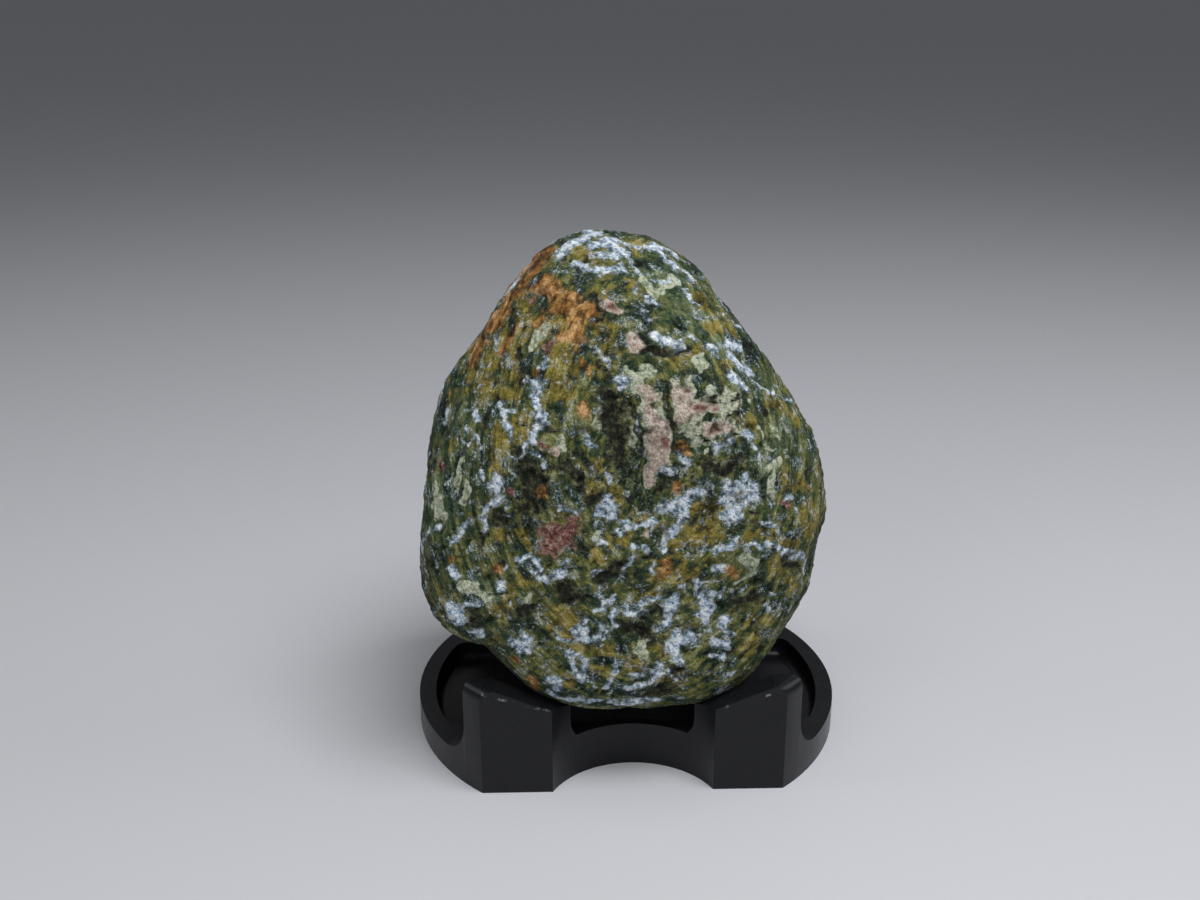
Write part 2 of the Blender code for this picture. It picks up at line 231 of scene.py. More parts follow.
# Stone: markings. Each is a stroke or a spot of another mineral, drawn on the skin by the run of
# its middle line: half width, then places across and up, in millimetres, seen level from the
# front. On the sides and back, like ones are strewn, each running a random way bent by noise.
CRUST = (
    # bluish white crust: veins, patches and rings
    (1.8, (-26, 186.5), (-22, 190), (-17, 192), (-11, 193)),
    (1.6, (-14, 190), (-7, 190.5), (-2, 188), (1, 184.5)),
    (1.2, (-19, 186.5), (-15, 185), (-11, 184), (-5, 184.5), (0, 184)),
    (1.3, (-11, 188), (-4, 187)),
    (0.6, (-27, 183), (-21, 183.5)),
    (0.6, (-12.5, 161), (-7.5, 156.5)),
    (0.5, (-11, 167.5), (-8, 165.5)),
    (0.5, (-17, 171), (-14, 170.5)),
    (1.7, (-5, 152.5), (-3, 151.5)),
    (0.6, (-1.8, 150.5), (-1, 148)),
    (0.6, (2, 179.5), (0.5, 177), (1, 175), (5, 170)),
    (0.7, (3.5, 178), (5, 175), (8.5, 174.5)),
    (0.9, (16, 179), (19, 175.5), (23.5, 172.5)),
    (2.0, (8, 164.5), (11, 163), (15, 162.5)),
    (0.6, (19, 165), (21.5, 162)),
    (1.3, (5, 190), (11, 187), (16, 183.5)),
    (1.2, (18, 182), (22, 179)),
    (0.6, (8, 181), (13, 180)),
    (0.9, (-38.5, 169), (-38, 166), (-39, 163.5)),
    (0.5, (-47, 162), (-47, 160), (-47.5, 157), (-44.5, 157)),
    (0.6, (-30, 156.5), (-31, 155)),
    (0.7, (-53, 151.5), (-50, 152.5)),
    (1.6, (-34.5, 151.5), (-33, 149)),
    (0.9, (-33, 149), (-33, 143), (-33.5, 141)),
    (1.5, (-33.5, 140.5), (-31, 140), (-34, 137), (-34.5, 134)),
    (0.9, (-46, 143), (-43, 142.5), (-40, 142.5)),
    (1.1, (-45, 142), (-44.5, 139), (-43, 135), (-42.5, 134)),
    (1.1, (-54.5, 139.5), (-53.5, 138)),
    (0.8, (-57, 137), (-57.5, 133.5)),
    (0.6, (-60, 130), (-57, 129), (-54.5, 133), (-52.5, 130)),
    (1.2, (-65, 134), (-66.5, 130)),
    (0.9, (-52, 124), (-51.5, 121.5)),
    (1.7, (-46.5, 121), (-48, 117), (-47, 113)),
    (0.9, (-49, 111.5), (-51.5, 109), (-53.5, 106)),
    (0.6, (-43.5, 111), (-43.5, 108.5), (-42.5, 107.5)),
    (0.6, (-42.5, 128.5), (-40, 127), (-38, 128.5), (-36.5, 132)),
    (0.7, (-33, 129), (-32, 126.5), (-30.5, 124.5)),
    (1.0, (-56.5, 106.5), (-60, 101), (-64, 95)),
    (1.2, (-52, 106.5), (-51.5, 102)),
    (0.9, (-68, 101), (-72, 97), (-74, 92)),
    (1.3, (-63.5, 88), (-62, 86.5)),
    (0.7, (-43, 90.5), (-42.5, 89)),
    (0.9, (-39.5, 91.5), (-36, 93), (-34, 91), (-32, 89)),
    (0.8, (-36, 87), (-34, 85.5), (-31, 86)),
    (1.0, (-45, 84.5), (-46.5, 83.5), (-45, 82)),
    (0.7, (-42.5, 80), (-42, 78), (-43, 76)),
    (1.2, (-59, 77), (-55, 76.5)),
    (2.2, (-64, 74), (-62, 71), (-60, 68)),
    (1.4, (-56.5, 66), (-53.5, 65.5)),
    (1.6, (-40, 65), (-37.5, 62)),
    (2.4, (-41, 60), (-38.5, 58)),
    (1.2, (-12, 108), (-7, 105), (-3, 103), (3, 103), (7, 104)),
    (1.2, (-6, 103), (-3, 101.5)),
    (0.9, (-11, 101), (-5, 100.5)),
    (1.0, (-17.5, 104), (-17, 101.5), (-15, 99)),
    (0.7, (-13, 97.5), (-11, 98), (-10, 96), (-10.5, 93)),
    (0.9, (-1.5, 95.5), (2, 95.5), (4, 94)),
    (0.6, (6.5, 101), (6.8, 97)),
    (0.8, (10.5, 99), (9.8, 94.5)),
    (1.7, (12, 101.5), (15, 104.5), (16.5, 107.5)),
    (1.4, (9.5, 109.5), (14, 109), (17, 111), (22, 114.5)),
    (0.6, (15.5, 94.5), (17.5, 95.5), (19.5, 94.5)),
    (0.6, (-1, 91.8), (-3, 89.8), (-4, 88)),
    (0.7, (5.5, 89), (5.8, 86.5)),
    (0.5, (10, 82), (13, 82), (15.5, 83)),
    (0.8, (-24.5, 91), (-21.5, 89)),
    (1.3, (-26.5, 87), (-24, 87.5)),
    (0.7, (-14.5, 88), (-13.5, 86), (-12, 88.5)),
    (0.8, (-11, 79.5), (-11.5, 77), (-11, 73.5), (-14, 72.5)),
    (0.8, (-7, 77), (-9, 75.5), (-8, 73), (-6, 74)),
    (0.8, (-7, 72), (-9, 70), (-8, 67), (-6, 66)),
    (1.0, (-2.5, 74.5), (-2, 71.5), (0, 71)),
    (1.2, (1.5, 72.5), (1.5, 71)),
    (0.6, (2.5, 74), (4, 75.5), (8, 76), (12, 76)),
    (2.2, (14.5, 75), (13, 72.5)),
    (1.5, (12.5, 71), (10.5, 67), (8.5, 65)),
    (0.9, (16, 80), (19, 80), (21.5, 81.5)),
    (1.9, (-19.5, 66), (-18, 64.5)),
    (0.7, (-17, 69), (-12, 66.5), (-7.5, 65.5)),
    (1.3, (-27, 63), (-22, 62), (-15, 61.8), (-11, 62.5)),
    (1.0, (26.5, 95), (27.5, 93), (32.5, 93.5), (35, 98)),
    (1.1, (28, 87.5), (31.5, 86.5)),
    (0.9, (21, 83), (22, 81), (21.5, 79)),
    (0.9, (24, 82), (29, 82.5)),
    (0.8, (26, 79.5), (30, 76.5)),
    (1.9, (24, 76), (26.5, 72.5), (23, 70)),
    (1.3, (24, 70), (25.5, 65)),
    (1.1, (32, 68.5), (34.5, 67)),
    (1.6, (31.5, 66.5), (33, 62)),
    (0.7, (39, 95.5), (42.5, 95), (43.5, 92.5)),
    (0.9, (45, 95.5), (48, 94.5), (53.5, 90)),
    (1.4, (53.5, 90), (57, 88.5), (61, 85.5)),
    (1.0, (61.5, 84), (62, 80), (62.5, 77)),
    (0.8, (48, 75), (50, 74.5)),
    (0.7, (46, 71.5), (48, 70)),
    (0.6, (51, 66), (54, 62)),
    (0.8, (42, 103), (45, 103.5), (50, 102), (51.5, 98)),
    (0.7, (56, 105), (58, 103)),
    (0.9, (31, 116), (31.5, 118.5), (36, 118.5), (38, 121), (39.5, 117)),
    (1.8, (30.5, 116), (36, 115.5), (42, 115)),
    (1.6, (31, 112.5), (34, 109.5), (38, 110.5), (43, 112.5)),
    (1.5, (32, 107.5), (34, 105.5), (32, 103.5)),
    (1.7, (21, 114), (23.5, 114.5)),
    (1.8, (27, 130), (32, 130.3)),
    (0.9, (37, 135), (39.5, 131.5)),
    (0.8, (41.5, 129), (43, 126), (43, 123)),
    (0.7, (49, 143), (56, 138), (60, 134)),
    (0.7, (53, 110), (58, 108.5)),
    (1.4, (27, 161.5), (28, 159)),
    (1.6, (31, 160.5), (36, 159.5), (38.5, 158)),
    (2.2, (35, 156.5), (37, 154), (40, 151.5)),
    (1.6, (32.5, 152.5), (35, 151)),
    (0.9, (37, 149.5), (38.5, 147)),
    (0.9, (40, 150), (44, 146.5), (47, 143.5)),
    (0.9, (31.5, 168.5), (34, 166.5)),
    (0.7, (23, 168.5), (24.5, 168)),
    (0.6, (37, 164), (39.5, 162)),
    (0.9, (10.5, 123), (13, 121.5)),
    (1.3, (15.5, 126), (18, 124.5)),
    (0.9, (-17, 136), (-16.5, 133), (-13, 130.5)),
    (0.7, (-9.5, 123), (-9, 118)),
    (1.5, (-9, 112), (-8.5, 108.5)),
    (0.8, (-23, 118), (-21.5, 115)),
    (0.6, (-26, 110.5), (-20, 109.5), (-17, 108.5)),
    (0.8, (0.5, 140), (1.5, 136)),
    (0.6, (-21.5, 142), (-21.8, 138.5)),
    (0.7, (-30, 141), (-29, 139)),
    (2.6, (14.5, 61), (17, 59), (14.5, 57.5)),
    (1.2, (15, 55), (15.5, 52.5), (18, 52)),
    (1.6, (20.5, 62.5), (21, 59.5)),
    (1.6, (9, 51), (7.5, 48), (10.5, 48)),
    (1.1, (6, 46), (1, 44), (-2, 42.5)),
    (0.5, (-1.5, 48), (3, 48)),
    (1.6, (-29, 38), (-22, 36), (-13, 35.5)),
    (1.5, (-9, 35), (0, 35.5), (8, 37)),
    (0.7, (15, 45), (18, 43.5), (19, 41.5)),
    (0.9, (-6, 54), (-6, 50), (-8, 46.5), (-11, 42.5)),
    (1.1, (-23, 58), (-23.5, 55.5), (-21, 51), (-19, 46)),
    (1.0, (-20, 56), (-17.5, 54), (-17, 47), (-15, 42.5)),
    (1.7, (-29, 47), (-27, 42.5)),
    (1.0, (33, 46), (36, 45.5)),
    (1.2, (27, 60), (30, 57.5), (33, 56)),
    (0.9, (28, 53.5), (33, 52)),
)
PALE = (
    # sage and cream clasts and bands
    (2.8, (5.5, 180), (8.5, 177)),
    (2.2, (13, 179.5), (15.5, 178.5)),
    (2.6, (4, 156.5), (5, 155)),
    (1.0, (-3.5, 156.5), (-1, 153.5), (0.5, 149)),
    (1.3, (-31, 168), (-33.5, 163.5), (-34.5, 160)),
    (1.0, (-29, 168), (-32, 162)),
    (3.0, (1.5, 151), (4.5, 145)),
    (4.6, (7.2, 140), (8.0, 134), (7.8, 126)),
    (2.4, (6.5, 123), (4.5, 118)),
    (1.3, (11.5, 126), (12.5, 124)),
    (1.0, (-1, 137.5), (-0.3, 131), (1, 128.5)),
    (1.1, (-11, 146), (-13, 142), (-14, 139)),
    (0.8, (-13.5, 138.5), (-11, 134)),
    (2.4, (30.5, 147), (32, 146.2)),
    (5.0, (16, 148), (18, 141), (20, 137)),
    (3.0, (22, 144), (27, 143.2), (34, 142.8)),
    (3.1, (21, 138), (26, 136.6), (34, 136.2)),
    (1.4, (22, 133), (24, 129)),
    (1.5, (24.5, 150), (26.5, 148)),
    (1.0, (46, 136.5), (49, 132), (50.5, 128)),
    (0.9, (44, 131), (47.5, 127)),
    (0.6, (42.5, 136), (44, 132)),
    (0.6, (36, 147), (39.5, 142.5)),
    (2.0, (22, 158), (24, 156.5)),
    (1.2, (6, 146), (8, 148.5)),
    (2.2, (-58, 82), (-54, 80.5), (-50.5, 80)),
    (2.4, (-69, 112), (-67, 105)),
    (1.4, (-59, 125), (-61, 116)),
    (1.4, (-56, 118), (-59, 111)),
    (2.6, (39, 90), (42.5, 88)),
    (0.8, (42, 84), (38, 82.5), (36, 81)),
    (1.0, (0, 110), (3, 107.5)),
    (2.0, (48, 118), (48, 112)),
    (1.8, (45, 121), (50, 122)),
    (1.6, (-13, 101), (-14, 100)),
    (2.4, (3, 62), (2, 57)),
    (1.6, (-36, 79), (-38, 76)),
    (1.6, (-25, 133.5), (-24, 130)),
    (1.5, (-27, 94.5), (-25.5, 95.5)),
)
BLUSH = (
    # pink and salmon hearts of clasts
    (2.0, (-9, 175), (-4, 172.5)),
    (2.2, (-1.5, 164), (1.5, 162)),
    (2.2, (3.5, 150), (5.5, 144.5), (7.5, 139)),
    (3.5, (7.9, 138), (7.9, 131), (7.4, 126)),
    (1.7, (6.8, 123.5), (4.8, 119)),
    (3.6, (15.5, 148), (17.5, 141.5)),
    (1.9, (21.5, 143.8), (27, 143.2)),
    (2.3, (21.5, 138), (26, 136.4), (32, 136.1)),
    (1.2, (-31.5, 132.5), (-30.5, 131)),
    (1.4, (-28, 130), (-27, 129)),
    (1.2, (4, 117.5), (6, 118)),
    (1.0, (3.5, 99.5), (5, 99)),
)
BRICK = (
    # a brick red blotch and small red spots
    (4.9, (-27.5, 98.5), (-24, 102.5)),
    (0.9, (21.5, 143), (23.5, 142.6)),
    (0.8, (26.5, 142.8), (28, 142.2)),
    (1.0, (26.5, 136.3), (29, 135.8)),
    (1.1, (16.5, 150.5), (17.5, 148.5)),
    (1.2, (9.3, 134), (9.8, 131.5)),
    (1.2, (-31.8, 132.8), (-30.2, 131.8)),
    (1.1, (-28, 163), (-29, 161)),
    (1.4, (-67.5, 120), (-66.5, 119)),
    (1.0, (-42.5, 117), (-43, 115)),
    (1.2, (52, 107.8), (54, 107.2)),
    (0.9, (-35.5, 175), (-34.5, 174)),
    (1.3, (-7, 174.5), (-5, 173.5)),
)
RUST = (
    # iron stain over the left shoulder, and spots of it elsewhere
    (4.4, (-30, 187), (-33, 184), (-37, 178)),
    (4.4, (-32, 190), (-38, 184), (-42, 178)),
    (5.0, (-37, 178), (-42, 173), (-47, 167)),
    (4.6, (-47, 167), (-51, 161), (-55, 154)),
    (3.4, (-31, 180), (-26, 177), (-20, 176)),
    (3.4, (-27, 173), (-21, 174), (-15, 173)),
    (3.0, (-21, 170), (-19.5, 163)),
    (2.2, (-41, 164), (-45, 158)),
    (2.2, (-31, 172), (-33, 168)),
    (1.4, (-25, 166), (-23, 163)),
    (1.0, (-17, 158), (-15.5, 153)),
    (1.2, (-33, 153.5), (-35, 153.5)),
    (1.5, (-65, 139.5), (-66, 138)),
    (1.6, (-32, 117), (-31, 116)),
    (1.6, (9, 87), (13, 86.5)),
    (1.2, (10, 90.5), (12, 90.3)),
    (1.6, (-18, 144), (-17, 141.5)),
    (1.4, (15.5, 117.5), (15, 115.5)),
    (1.5, (16, 132), (17, 128)),
    (1.4, (-48, 89), (-46, 89)),
    (1.2, (-64, 91.5), (-62, 91.5)),
    (1.0, (62, 111.5), (61, 112)),
    (1.6, (-42, 52), (-41, 51)),
    (2.0, (-36, 44), (-35, 40)),
    (1.6, (33.5, 86.5), (35, 85.5)),
)
OLIVE = (
    # mustard and olive patches of weathered rock
    (2.4, (-18, 189), (-13, 187)),
    (2.0, (-2, 181.5), (0, 180)),
    (3.0, (-9, 166), (-9, 160), (-12, 155)),
    (5.0, (-26, 170), (-24, 160), (-26, 150)),
    (5.0, (-38, 172), (-32, 164)),
    (4.0, (-12, 176), (-12, 168)),
    (2.2, (14, 158), (18, 160), (22, 160)),
    (5.0, (-46, 164), (-45, 156), (-52, 152)),
    (4.0, (-57, 148), (-50, 147), (-42, 148)),
    (3.0, (-40, 158), (-40, 152)),
    (2.6, (-39, 139), (-39, 134)),
    (1.8, (-62.5, 129), (-63, 126)),
    (2.6, (-47, 137), (-46.5, 131)),
    (2.0, (-48, 126), (-46, 124)),
    (5.0, (24, 108), (25, 104), (22, 99)),
    (2.2, (36, 138), (40, 137)),
    (3.0, (58, 132), (54, 137), (48, 141)),
    (2.0, (53, 117), (52, 114)),
    (2.0, (57, 112), (60, 114)),
    (2.6, (-45, 101), (-40, 102), (-38, 100)),
    (2.4, (-48, 74), (-45, 74)),
    (2.0, (-46, 79), (-43.5, 79.5)),
    (2.0, (-41, 83.5), (-38, 84)),
    (1.6, (-68, 79), (-67.5, 77)),
    (2.4, (-8, 98), (-3, 98)),
    (2.0, (-14, 94), (-12, 93.5)),
    (2.6, (13, 98), (17, 97)),
    (3.6, (8, 86.5), (14, 86), (18, 85)),
    (1.4, (12, 92), (18, 92)),
    (2.0, (2, 79), (9, 78.5)),
    (3.2, (-26, 71), (-21, 71), (-26, 67)),
    (2.0, (-27, 65), (-23, 64.5)),
    (1.4, (10, 103), (10.5, 102)),
    (1.2, (0, 106.5), (6, 105)),
    (1.8, (45, 98), (48, 97.5)),
    (3.2, (52, 96), (55, 93)),
    (3.0, (60, 98), (65, 95)),
    (2.4, (62, 103), (65, 102)),
    (2.4, (42, 67), (46, 66)),
    (3.4, (49, 86), (54, 83)),
    (2.6, (36, 95), (40, 98)),
    (2.6, (-19, 58), (-10, 57)),
    (3.2, (4, 60), (9, 59)),
    (2.2, (0, 52), (4, 51)),
    (2.6, (-13, 49.5), (-8, 49)),
    (2.4, (-24, 48), (-23, 44.5)),
    (3.6, (11, 45), (16, 46)),
    (1.8, (34, 113), (37, 112.5)),
    (3.0, (-13, 124), (-13, 116)),
    (2.0, (-6, 114), (-4, 113)),
    (2.6, (46, 166), (43, 160), (48, 153)),
    (2.2, (26, 166), (33, 165), (36, 162)),
    (2.6, (30, 156), (33, 155)),
    (3.0, (67, 112), (69, 104)),
    (2.6, (24, 174), (31, 168)),
    (2.0, (56, 78), (58, 72)),
    (2.4, (40, 56), (44, 58)),
    (3.0, (-69, 70), (-73, 74)),
)
SAGE = (
    # broad stretches of paler, brighter green
    (8.0, (12, 182), (20, 172), (26, 166)),
    (6.0, (30, 158), (44, 146), (56, 134)),
    (6.0, (-62, 134), (-64, 120), (-66, 106)),
    (5.0, (44, 120), (50, 130)),
    (5.0, (40, 90), (52, 84)),
    (4.0, (-56, 82), (-46, 80)),
)
SHADE = (
    # dark green and brown black: hollows, borders of clasts and cracks, and painted shade on the undercut at the
    # lower left
    (4.6, (-8.5, 146), (-8, 140), (-6.5, 133), (-5.5, 129)),
    (0.9, (-1.8, 146), (1.5, 140), (2.5, 133), (2.5, 127)),
    (1.2, (10.5, 151), (9.8, 145), (12.6, 139), (13.3, 133), (13.5, 127)),
    (0.6, (23.5, 139.8), (28, 140), (34.5, 140.5)),
    (0.7, (20, 135), (25, 132.8), (30, 133), (35, 134)),
    (0.5, (26, 146.5), (30, 150.5)),
    (0.5, (25, 146), (30, 144.8), (34, 145)),
    (0.9, (35, 146), (35.5, 137)),
    (1.3, (0, 160), (6, 161), (12, 160)),
    (1.3, (15.5, 160.5), (18.5, 161)),
    (2.0, (-13, 177), (-10, 172)),
    (1.3, (-12, 157.5), (-9, 154.5)),
    (0.6, (-17, 161.5), (-13, 161)),
    (1.0, (-39, 160), (-38, 155), (-38.5, 149)),
    (0.6, (-49, 139), (-44.5, 138.5)),
    (0.5, (-42.5, 138.5), (-38, 138)),
    (0.8, (-66.5, 128), (-64, 130.5)),
    (1.4, (-51, 141), (-51, 136)),
    (2.2, (-40, 130), (-40, 128)),
    (4.4, (-37, 124), (-33, 121), (-36, 113)),
    (3.0, (-48, 107), (-42, 106)),
    (1.4, (-30, 137.5), (-28, 136)),
    (3.0, (-22, 125), (-19, 119)),
    (2.4, (-15, 112), (-12, 114)),
    (1.2, (26, 126.5), (31, 126), (37, 127)),
    (2.4, (25, 124), (32, 122)),
    (1.6, (44, 139), (46, 138)),
    (1.0, (62, 118.5), (63, 116)),
    (2.6, (9, 118), (11, 120)),
    (0.6, (-50, 80.5), (-44, 81)),
    (1.0, (-46, 91), (-44.5, 91)),
    (1.2, (-53.5, 101), (-53, 97)),
    (2.4, (-39, 73), (-36, 73.5)),
    (2.6, (-57, 73), (-57, 69)),
    (1.8, (-71, 88), (-72, 84)),
    (3.2, (-10, 86), (-6, 88)),
    (3.6, (-24, 81), (-22, 77)),
    (2.8, (-1, 66), (4, 64)),
    (0.5, (11, 93.5), (16, 93), (20, 94), (24, 92)),
    (2.2, (7, 73), (9, 70.5)),
    (0.7, (-16, 97.5), (-14.5, 97)),
    (1.3, (-20, 98.5), (-18.5, 96)),
    (1.2, (31.5, 101), (34.5, 100.5)),
    (2.8, (36, 73), (41, 75)),
    (1.8, (54, 87), (58, 82)),
    (1.8, (64, 82), (65, 78)),
    (1.2, (13, 48), (19, 48.5)),
    (0.7, (-24, 41), (-18, 41)),
    (1.2, (30.8, 114), (31.2, 113.6)),
    (1.0, (33, 117.5), (34.5, 116.5)),
    (0.8, (40.5, 107), (42.5, 107)),
    # the undercut at the lower left: its dark brown, deepened with painted shade
    (4.0, (-58, 56), (-50, 46), (-42, 38)),
    (2.0, (3, 40), (12, 41)),
)
WARPS = (
    # size, reach: noise that bends the strokes
    (8.0 * MM, 1.6 * MM),
    (2.8 * MM, 1.5 * MM),
)
SWELL_SIZE, SWELL = 4.0 * MM, 0.9       # strokes swell and pinch by this share of their width
STREWN_FRONT = -6.0 * MM        # the strewn marks start behind this
FRONT = -200.0 * MM


def on_skin(across, up):
    """The place on the front of the stone at a place across and up."""
    start = Vector((across * MM, FRONT, up * MM))
    place = solid.ray_cast(start, Vector((0, 1, 0)))[0]
    if place is None:
        place = solid.find_nearest(Vector((across * MM, 0, up * MM)))[0]
    return np.array(place)


def drawn(strokes):
    """Strokes of millimetres across and up as half widths and places on the skin."""
    return [(stroke[0] * MM, [on_skin(*point) for point in stroke[1:]]) for stroke in strokes]


def strewn(draw, count, half_widths, lengths):
    """Strokes scattered over the sides and back, each running a random way bent by noise."""
    strokes = []
    while len(strokes) < count:
        start = places[draw.randrange(len(places))]
        if start[1] < STREWN_FRONT:
            continue
        heading = Vector((draw.uniform(-1, 1), draw.uniform(-1, 1), draw.uniform(-1, 1)))
        run = [start]
        step = draw.uniform(*lengths) * MM / 3
        for _ in range(3):
            heading = (heading.normalized() + 0.5 * noise.noise_vector(Vector(run[-1]) * 90.0)).normalized()
            run.append(np.array(solid.find_nearest(Vector(run[-1]) + heading * step)[0]))
        strokes.append((draw.uniform(*half_widths) * MM, run))
    return strokes


def mark(name, strokes, share, least):
    """Lay strokes on the skin as a mask: 1 well inside, 0.5 at the edge, 0 from a fade away.

    A stroke fades over a share of its half width, and over a least distance.
    """
    field = np.full(len(places), -1.0)
    for half_width, points in strokes:
        fade = max(share * half_width, least)
        for start, end in zip(points[:-1], points[1:]):
            along = end - start
            way = np.clip((warped - start) @ along / (along @ along), 0.0, 1.0)
            apart = np.linalg.norm(warped - start - way[:, None] * along, axis=1)
            np.maximum(field, (half_width * swell - apart) / fade, out=field)
    mask = 0.5 + 0.5 * np.minimum(field, 1.0)
    skin.attributes.new(name, "FLOAT", "POINT").data.foreach_set("value", mask)
    return mask


warped = places.copy()
for size, reach in WARPS:
    warped += reach * np.stack([noise_over(places, size, shift) for shift in (0.0, 31.7, 57.3)], axis=1)
swell = 1.0 + SWELL * noise_over(places, SWELL_SIZE, 7.9)
draw = random.Random(11)
crust = mark("crust", drawn(CRUST) + strewn(draw, 210, (0.6, 2.2), (3, 15)), 1.0, 0.9 * MM)
pale = mark("pale", drawn(PALE) + strewn(draw, 40, (0.9, 3.0), (3, 14)), 0.6, 0.8 * MM)
mark("blush", drawn(BLUSH) + strewn(draw, 8, (1.2, 2.6), (2, 8)), 0.8, 1.0 * MM)
mark("brick", drawn(BRICK) + strewn(draw, 8, (0.9, 2.6), (2, 6)), 0.9, 1.0 * MM)
mark("rust", drawn(RUST) + strewn(draw, 12, (1.6, 4.0), (6, 20)), 0.9, 1.3 * MM)
mark("olive", drawn(OLIVE) + strewn(draw, 60, (1.6, 4.8), (4, 20)), 1.3, 1.6 * MM)
mark("sage", drawn(SAGE) + strewn(draw, 10, (5.0, 9.0), (10, 30)), 1.2, 4.0 * MM)
shade = mark("shade", drawn(SHADE) + strewn(draw, 50, (0.6, 3.4), (4, 16)), 0.9, 0.8 * MM)
banding = skin.attributes.new("layers", "FLOAT_VECTOR", "POINT")
banding.data.foreach_set("vector", layers.ravel())

# Stone: relief. Lumps, the layers' worn edges, tilted chips and pits, with crust and clasts
# standing a little proud and cracks sunk in. Where the posts carry the stone it stays plain.
CRUST_RISE, CLAST_RISE, CRACK_DEPTH = 0.35 * MM, 0.3 * MM, 1.2 * MM
HOLLOW_DEPTH = 1.1 * MM         # recesses this deep are darkest
WORN = 0.45                     # water has worn the high places down to this share
SEAT_REACH = (24.0 * MM, 64.0 * MM)     # across: where the posts are
SEAT_DEPTH, SEAT_TOP = 50.0 * MM, 45.0 * MM
SEAT_FADE = 4.0 * MM
relief = sum(height * noise_over(places, size) for size, height in LUMPS)
relief += CHIP_TILT * chips_over(warped, CHIP_SIZE)
step = layers[:, 0] / LEDGE_THICK + 1.2 * noise_over(layers, 2.0, 3.3)
step -= np.floor(step)
ledges = LEDGE_HEIGHT * (step ** 0.7 - 0.5) * np.clip(noise_over(places, 13 * MM, 5.1) * 2.5 + 0.6, 0, 1)
creases = 0.3 - np.abs(noise_over(warped, RIDGE_SIZE, 21.0)) - 0.5 * np.abs(noise_over(warped, RIDGE_SIZE / 2, 9.0))
pits = np.clip((noise_over(warped, PIT_SIZE, 13.1) - 0.25) / 0.3, 0.0, 1.0)
cracks = np.clip(shade - 0.4, 0, 0.5)
fine = ledges - RIDGE_DEPTH * creases - PIT_DEPTH * pits - CRACK_DEPTH * cracks
relief += fine + CRUST_RISE * np.clip(2 * crust - 0.8, 0, 1) + CLAST_RISE * np.clip(2 * pale - 0.8, 0, 1)
# How deep each place lies in a recess: the colour darkens recesses by this with painted shade.
hollow = np.clip(-fine / HOLLOW_DEPTH, 0.0, 1.0)
skin.attributes.new("hollow", "FLOAT", "POINT").data.foreach_set("value", hollow)

side = np.abs(places[:, 0])
clear = np.maximum.reduce([SEAT_REACH[0] - side, side - SEAT_REACH[1],
                           SEAT_DEPTH - np.abs(places[:, 1]), places[:, 2] - SEAT_TOP])
free = np.clip(clear / SEAT_FADE, 0.0, 1.0)
relief = np.where(relief > 0, relief * free * WORN, relief * np.maximum(free, 0.3))
places += outward * relief[:, None]
skin.vertices.foreach_set("co", places.ravel())
skin.shade_smooth()
skin.update()
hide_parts("stone")
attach(stone, "root")

# Stone: colour. A green groundmass, mottled and streaked along the layers, carries the marks:
# each mineral has its own shades and a ragged edge, and a fine speckle runs over all of it.
# Recesses in the relief are darkened with painted shade.


def value_noise(tree, vector, size, detail=3.0, roughness=0.55, distortion=0.0):
    """Noise with features of a real size on object places, or of 1 on layer places."""
    item = add_node(tree, "ShaderNodeTexNoise", {
        "Vector": vector, "Scale": 1.0 / size, "Detail": detail, "Roughness": roughness,
        "Distortion": distortion})
    return item.outputs["Fac"]


def arithmetic(tree, operation, first, second):
    """One Math node over two values or sockets."""
    item = tree.nodes.new("ShaderNodeMath")
    item.operation = operation
    for index, value in enumerate((first, second)):
        if isinstance(value, bpy.types.NodeSocket):
            tree.links.new(value, item.inputs[index])
        else:
            item.inputs[index].default_value = value
    return item.outputs[0]


def ragged_edge_group():
    """Group that turns a soft mask into one with a crisp, ragged edge."""
    group = bpy.data.node_groups.new("ragged_edge", "ShaderNodeTree")
    for name, kind, start in (("Mask", "NodeSocketFloat", 0.0), ("Noise", "NodeSocketFloat", 0.5),
                              ("Raggedness", "NodeSocketFloat", 0.6), ("Softness", "NodeSocketFloat", 0.08)):
        socket = group.interface.new_socket(name, in_out="INPUT", socket_type=kind)
        socket.default_value = start
    group.interface.new_socket("Mask", in_out="OUTPUT", socket_type="NodeSocketFloat")
    given = group.nodes.new("NodeGroupInput").outputs
    result = group.nodes.new("NodeGroupOutput").inputs
    swing = arithmetic(group, "MULTIPLY", arithmetic(group, "SUBTRACT", given["Noise"], 0.5),
                       given["Raggedness"])
    edge = arithmetic(group, "ADD", given["Mask"], swing)
    step = add_node(group, "ShaderNodeMapRange", {
        "Value": edge, "From Min": arithmetic(group, "SUBTRACT", 0.5, given["Softness"]),
        "From Max": arithmetic(group, "ADD", 0.5, given["Softness"])},
        interpolation_type="SMOOTHSTEP")
    group.links.new(step.outputs["Result"], result["Mask"])
    return group


def ragged(tree, group, name, noise_socket, raggedness, softness=0.08):
    """Ragged mask of one of the stone's marks."""
    attribute = add_node(tree, "ShaderNodeAttribute", attribute_name=name)
    item = tree.nodes.new("ShaderNodeGroup")
    item.node_tree = group
    tree.links.new(attribute.outputs["Fac"], item.inputs["Mask"])
    tree.links.new(noise_socket, item.inputs["Noise"])
    item.inputs["Raggedness"].default_value = raggedness
    item.inputs["Softness"].default_value = softness
    return item.outputs["Mask"]


def spread(tree, value, low, high, out_low=0.0, out_high=1.0):
    """Value stretched from one range to another and clamped."""
    item = add_node(tree, "ShaderNodeMapRange", {
        "Value": value, "From Min": low, "From Max": high, "To Min": out_low, "To Max": out_high})
    return item.outputs["Result"]


